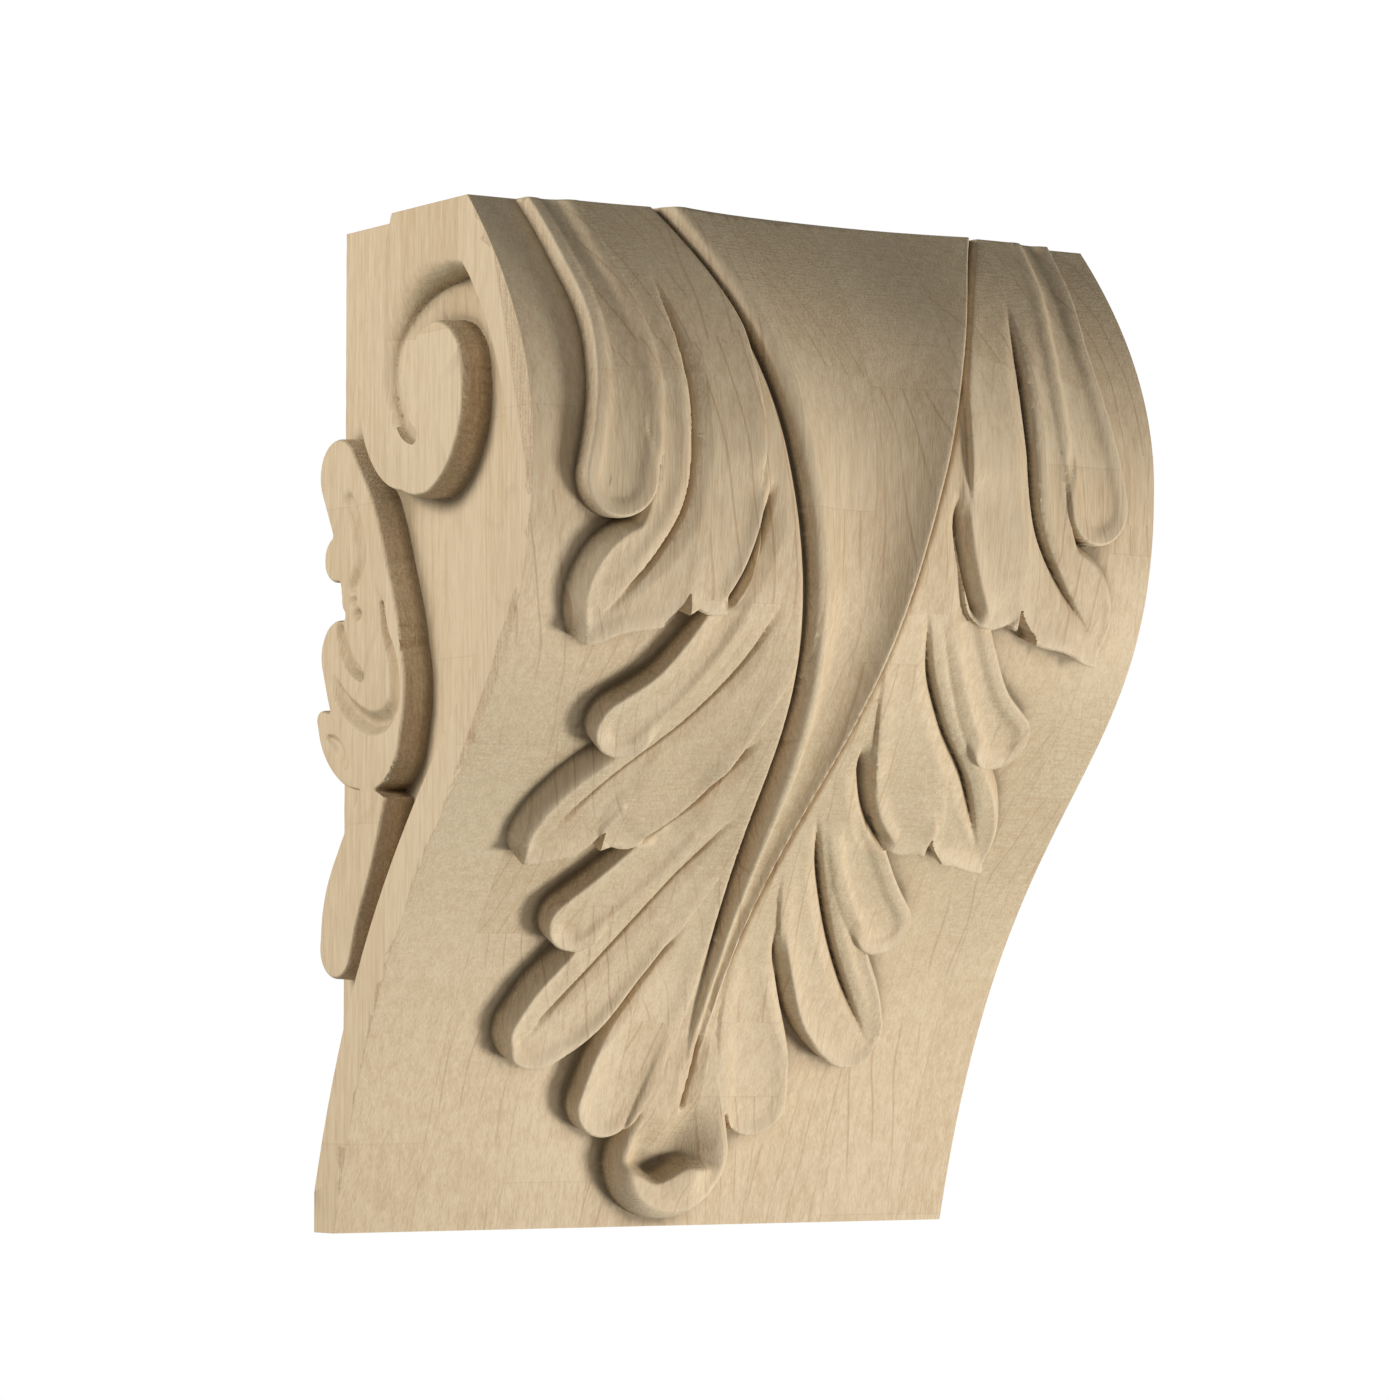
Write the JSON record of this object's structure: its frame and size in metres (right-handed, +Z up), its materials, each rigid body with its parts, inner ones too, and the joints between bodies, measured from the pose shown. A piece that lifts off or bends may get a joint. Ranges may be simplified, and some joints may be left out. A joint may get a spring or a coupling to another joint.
{
  "type": "acanthus corbel",
  "caption": "Carved wooden bracket with an S-shaped front, a symmetrical acanthus leaf either side of a fluted stem, and a scroll and small leaves on each side.",
  "frame": {"origin": "centre of the flat back face, where the corbel meets the wall", "axes": "+Z up, +X to the right seen from the front, -Y out from the wall"},
  "size_m": [0.224, 0.1358, 0.305],
  "materials": {
    "carved_maple": "bare pale wood, taken by eye for maple, with fine tool marks in the carving"
  },
  "bodies": {
    "root": {"corbel": "carved_maple"}
  },
  "joints": []
}
